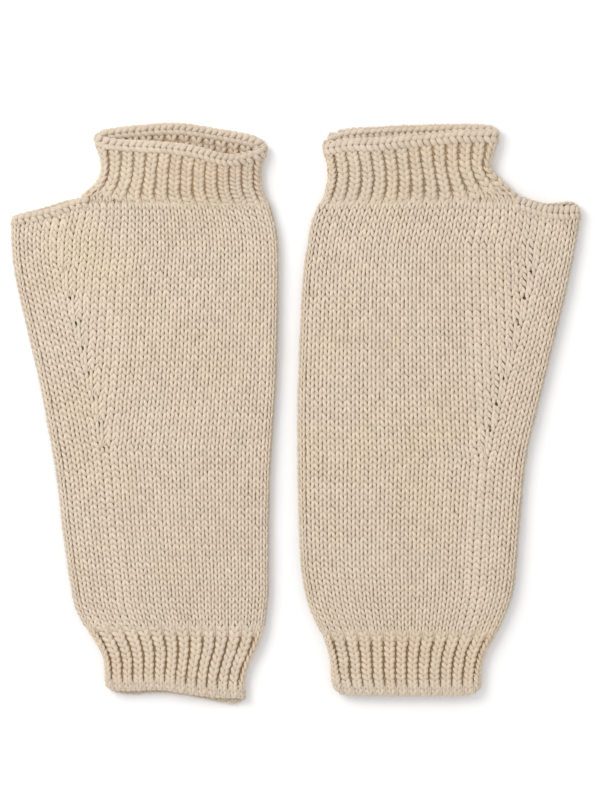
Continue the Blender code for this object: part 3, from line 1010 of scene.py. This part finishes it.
def knitRibs(name, glove, part, tube):
    ribs, courses = clothSettings["ribs"], ribSettings["courses"][part]
    ribWidth, startWidth = ribSettings["ribWidth"], ribSettings["startWidth"]
    rows = np.arange(courses) + 0.5
    inner = (rows[-ribSettings["insideCourses"]:] if part == "Finger"
             else rows[:ribSettings["hiddenCourses"]])
    ridges, furrows, linings, starts = [], [], [], []
    for side in ("front", "back"):
        place = bandPlaces(tube, side, ribs, courses)
        column, row = aboveReach(part, np.arange(ribs) + 0.5, rows)
        fromHand = courses - row if part == "Wrist" else row
        grown = softStep(0.0, ribSettings["startReach"], fromHand)
        widths = ribWidth[part] * (startWidth + (1 - startWidth) * grown)
        ridges.append(anchorsFrom(place, column, row, ribSettings["legDepth"], widths=widths))
        columns = np.arange(ribs) + firstOf(side)
        furrows.append(alongRow(
            anchorsFrom(place, *aboveReach(part, columns, rows[1:-1]),
                        glove["furrowDepth"][part], widths=ribSettings["furrowTall"]),
            ribSettings["furrowWide"]))
        if part == "Finger":
            found = anchorsFrom(place, *plainCorner(tube, side, ribs, courses),
                                ribSettings["plainDepth"])
            found["wide"] = 0.0 * found["wide"] + ribSettings["plainWide"] * mm
            starts.append(found)
        for row, depth, width in ribSettings["starts"]:
            rowAt = courses - row if part == "Wrist" else row + plainReach(part, columns)
            starts.append(anchorsFrom(place, columns + 0.0, rowAt + 0.0 * columns, depth,
                                      widths=width))
        linings.append(anchorsFrom(place, *gridOf(np.arange(1, ribs), inner),
                                   ribSettings["insideDepth"], outward=-1.0,
                                   widths=ribWidth["Wrist"]))
    return [
        makeStitches(name + part + "Ribs", ridges, ribYarns[part], stitchSeeds["Ribs"],
                     ribShapes[part], sway=ribSettings["sway"]),
        makeStitches(name + part + "Furrows", furrows, shadedFurrowYarns[part],
                     stitchSeeds["Furrows"], furrowShape, sides=3, steps=2),
        makeStitches(name + part + "Starts", starts, ribYarns[part], stitchSeeds["Starts"]),
        makeStitches(name + part + "Lining", linings, ribYarns[part], stitchSeeds["Lining"],
                     ribShape, sides=5, steps=2),
    ]


edgeSettings = {
    "wristHeight": 4.0,
    "wales": {"Finger": 28, "Wrist": 28, "Thumb": 11},
    "chainPlace": 0.42,      # share of the band's height at which the chain's middle lies
    "chainShare": 0.90,      # width of the chain, as a share of that height
    "chainDepths": ((0.45, 1.0), (1.6, -1.0)),       # depth, and 1 to face out or -1 to face in
    "rimPlace": {"Finger": 0.84, "Wrist": 0.90, "Thumb": 0.84},
    "rimDepth": 1.10,
    "rimWidth": 3.2,
    "rimTaper": 0.45,        # how much slimmer the rim's cord is at a fold
    "taperReach": 1.5,       # wales over which that fades
    "hemDepths": ((0.70, 1.0), (1.50, -1.0)),
    "hemRidges": (0.12, 0.62),       # share of the band's height
    "hemFurrows": (0.30, 0.72),
    "hemFurrowWidth": 0.46,
    "hemCourse": 2.2,
    "coreDepth": 1.10,
    "coreThickness": 0.90,
    # lower and upper border of the cloth inside an edge, from the rim or hem
    "wristCore": (0.9, 3.6),
    "thumbCore": (-3.4, -1.0),
    "fingerCoreTop": -1.0,
}
chainShape = {"Leg Width": 1.88, "Foot Spread": 0.16, "Knee Spread": 0.80, "Head Spread": 1.35,
              "Lean": 0.0, "Foot Drop": 1.45, "Head Rise": 1.35, "Knee Drop": 0.0,
              "Crown": 0.38, "Foot Sunk": 0.20, "Head Sunk": 0.30, "End Width": 0.62}
rimShape = {"Leg Width": 1.45, "Foot Spread": 0.25, "Knee Spread": 0.40, "Head Spread": 0.35,
            "Lean": 0.0, "Foot Drop": 1.40, "Head Rise": 1.40, "Knee Drop": 0.0,
            "Crown": 0.45, "Foot Sunk": 0.10, "Head Sunk": 0.25, "End Width": 0.55}
thumbShape = {**chainShape, "Foot Drop": 1.15, "Head Rise": 1.10, "Leg Width": 2.15,
              "End Width": 0.66}
edgeShapes = {"Wrist": ribShape, "Finger": chainShape, "Thumb": thumbShape}


def hemRows(band, side):             # cast on: the ribs run down to the hem
    ribs = clothSettings["ribs"]
    place = bandPlaces(band, side, ribs, 1)
    rows = []
    for depth, outward in edgeSettings["hemDepths"]:
        for step, heights, width in (
                (0.5, edgeSettings["hemRidges"], ribSettings["ribWidth"]["Wrist"]),
                (firstOf(side), edgeSettings["hemFurrows"], edgeSettings["hemFurrowWidth"])):
            column, row = gridOf(np.arange(ribs) + step, heights)
            found = anchorsFrom(place, column, row, depth, outward, width)
            found["high"] = 0.0 * found["high"] + edgeSettings["hemCourse"] * mm
            found["upWay"] = -found["upWay"]
            rows.append(found)
    return rows


def edgeColumns(part, side, inner=0):        # the thumb's chain runs on past its inner end
    count = edgeSettings["wales"][part]
    if part != "Thumb":
        return np.arange(count) + firstOf(side)
    return np.arange(-inner, count + 1) if side == "front" else np.arange(count)


def chainRows(glove, part, band, side):      # bound off: a chain lies along the rim
    place = bandPlaces(band, side, edgeSettings["wales"][part], 1)
    column, row = gridOf(edgeColumns(part, side, inner=1), edgeSettings["chainPlace"])
    tall = glove["thumbBandHeight" if part == "Thumb" else "bandHeight"]
    return [alongRow(anchorsFrom(place, column, row, depth, outward),
                     edgeSettings["chainShare"] * tall)
            for depth, outward in edgeSettings["chainDepths"]]


def rimRow(part, band, side):        # a cord that lies along the rim and faces away from it
    count = edgeSettings["wales"][part]
    column, row = gridOf(edgeColumns(part, side), edgeSettings["rimPlace"][part])
    found = anchorsFrom(bandPlaces(band, side, count, 1), column, row,
                        edgeSettings["rimDepth"])
    nearest = count - column if part == "Thumb" else np.minimum(column, count - column)
    slim = 1 - edgeSettings["rimTaper"] * np.exp(-nearest / edgeSettings["taperReach"])
    return alongRow(found, edgeSettings["rimWidth"] * slim, "upWay")


def knitEdge(name, glove, part, tubes):
    band = tubes[part + "Band"]
    rows = []
    for side in ("front", "back"):
        rows += (hemRows(band, side) if part == "Wrist"
                 else chainRows(glove, part, band, side))
    rims = [rimRow(part, band, side) for side in ("front", "back")]
    title = name + part
    return joinPieces(
        title + "Edge",
        makeStitches(title + "Chain", rows, edgeYarn, stitchSeeds["Chain"], edgeShapes[part]),
        makeStitches(title + "Rim", rims, edgeYarn, stitchSeeds["Rim"], rimShape),
        tubeShell(title + "EdgeCloth", tubes[part + "Core"], clothSettings["edgeGrid"],
                  edgeSettings["coreDepth"], edgeSettings["coreThickness"], edgeCloth))


def fingerAlong(layer, share, height):       # the ribs run straight, and the last ones flare
    sides = layer.glove["fingerSides"]
    slim = layer.girth(sides[np.argmin([row[1] + row[2] for row in sides])][0])
    even, late, power = ribSettings["flare"]
    return share * slim + (layer.girth(height) - slim) * (even * share + late * share ** power)


def thumbAlong(layer, share, height):
    split = layer.splitAt(height)
    return split + share * (layer.girth(height) - split)


def clothTop(glove):                 # the hand's upper border, and the thumb opening's
    handTop = handTopBorder(glove)
    thumbRim = thumbRimBorder(glove, edgeSettings["thumbCore"][1])

    def at(layer, along, height):
        split = layer.splitAt(height)
        blend = clothSettings["splitBlend"]
        thumb = softStep(split - blend, split + blend, along)
        top = handTop(layer, along, height)
        return top + (thumbRim(layer, along, height) - top) * thumb
    return at


def tubesOf(glove):
    def hem(distance=0.0):
        return rimBorder(glove, "frontHem", "backHem", distance)

    def rim(distance=0.0):
        return rimBorder(glove, "frontRim", "backRim", distance)

    ribTop, overlap = clothSettings["wristRibTop"], ribSettings["overlap"]
    inset = clothSettings["shellInset"]
    handTop = handTopBorder(glove)
    wristEdge, fingerEdge = hem(edgeSettings["wristHeight"]), rim(-glove["bandHeight"])
    borders = {              # lower border, upper border, and how columns lie along it
        "Hand": (levelBorder(ribTop), handTop),
        "HandCloth": (levelBorder(ribTop), clothTop(glove)),
        "Wrist": (wristEdge, levelBorder(ribTop + overlap)),
        "WristCloth": (hem(inset), levelBorder(ribTop)),
        "WristBand": (wristEdge, hem()),
        "WristCore": [hem(distance) for distance in edgeSettings["wristCore"]],
        "ThumbBand": (handTop, thumbRimBorder(glove), thumbAlong),
        "ThumbCore": [*(thumbRimBorder(glove, distance)
                        for distance in edgeSettings["thumbCore"]), thumbAlong],
        "Finger": (handTopBorder(glove, -overlap), fingerEdge, fingerAlong),
        "FingerCloth": (handTop, rim(-inset), fingerAlong),
        "FingerBand": (fingerEdge, rim(), fingerAlong),
        "FingerCore": (fingerEdge, rim(edgeSettings["fingerCoreTop"])),
    }
    return {part: Tube(glove, "fingerSides" if part.startswith("Finger") else "handSides",
                       *given) for part, given in borders.items()}


def clothsOf(name, tubes):
    settings = clothSettings
    cloths = [tubeShell(name + "HandCloth", tubes["HandCloth"], settings["handGrid"],
                        settings["shellDepth"], settings["shellThickness"], underCloth)]
    for part in ("Wrist", "Finger"):
        title = part + "Cloth"
        cloths.append(tubeShell(name + title, tubes[title], settings["ribGrid"],
                                ribSettings["shellDepth"], settings["shellThickness"],
                                shadedRibCloths[part], settings["shellWave"]))
    return cloths


def bothLayers(name, part):          # the two solids that one piece of knitting stands for
    return f"{name}_{part}_front", f"{name}_{part}_back"


for name, glove in gloves.items():
    tubes = tubesOf(glove)
    handCloth, wristCloth, fingerCloth = clothsOf(name, tubes)
    handPieces = knitHand(name, glove, tubes["Hand"])
    print(name, "hand is knitted")
    ribPieces = {part: knitRibs(name, glove, part, tubes[part]) for part in ("Wrist", "Finger")}
    print(name, "ribs are knitted")
    edges = {part: knitEdge(name, glove, part, tubes) for part in ("Finger", "Wrist", "Thumb")}
    print(name, "edges are made")

    for piece in [handCloth, wristCloth, fingerCloth, *handPieces, *ribPieces["Wrist"],
                  *ribPieces["Finger"], *edges.values()]:
        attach(piece, "root")
    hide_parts(*bothLayers(name, "hand"))
    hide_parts(*bothLayers(name, "wrist_rib"))
    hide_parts(*bothLayers(name, "finger_rib"))
    for part, piece in edges.items():
        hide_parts(*bothLayers(name, part.lower() + "_edge"))

print("gloves are knitted")


stageSettings = {
    "floorSize": 6.0,
    "floorDrop": 0.0002,     # how far the floor lies below the gloves
    "floorColour": (0.96, 0.96, 0.96),
    "floorLook": {"roughness": 1.0, "specular": 0.0},
    "worldColour": (1.0, 1.0, 1.0),
    "worldStrength": 0.82,
    "keyPower": 8.5,
    "keySize": 0.7,
    "keyPlace": (-0.75, 0.55, 0.95),
    "aim": (0.0016, 0.0051, 0.006),
    "lens": 200.0,
    "sensor": 36.0,
    "frameHeight": 0.320,
}

half, low = stageSettings["floorSize"] / 2, -stageSettings["floorDrop"]
floorMesh = bpy.data.meshes.new("floor")
floorMesh.from_pydata([(-half, -half, low), (half, -half, low), (half, half, low),
                       (-half, half, low)], [], [(0, 1, 2, 3)])
floor = newObject("floor", floorMesh)
floorMaterial, floorShader, _ = startMaterial("paleFloor", stageSettings["floorLook"])
floorShader.inputs["Base Color"].default_value = (*stageSettings["floorColour"], 1.0)
floorMesh.materials.append(floorMaterial)

world = bpy.data.worlds.new("studio")
world.use_nodes = True
background = world.node_tree.nodes["Background"].inputs
background["Color"].default_value = (*stageSettings["worldColour"], 1.0)
background["Strength"].default_value = stageSettings["worldStrength"]
bpy.context.scene.world = world

keyData = bpy.data.lights.new("softKey", "AREA")
keyData.energy = stageSettings["keyPower"]
keyData.size = stageSettings["keySize"]
key = newObject("softKey", keyData)
key.location = stageSettings["keyPlace"]
key.rotation_euler = (-key.location).to_track_quat("-Z", "Y").to_euler()
key.visible_camera = False

cameraData = bpy.data.cameras.new("camera")
cameraData.lens = stageSettings["lens"]
cameraData.sensor_width = stageSettings["sensor"]
distance = stageSettings["frameHeight"] * stageSettings["lens"] / stageSettings["sensor"]
aim = stageSettings["aim"]
camera = newObject("camera", cameraData)
camera.location = (aim[0], aim[1], aim[2] + distance)
bpy.context.scene.camera = camera
bpy.context.scene.view_settings.view_transform = "Standard"
print("floor, light and camera are set")
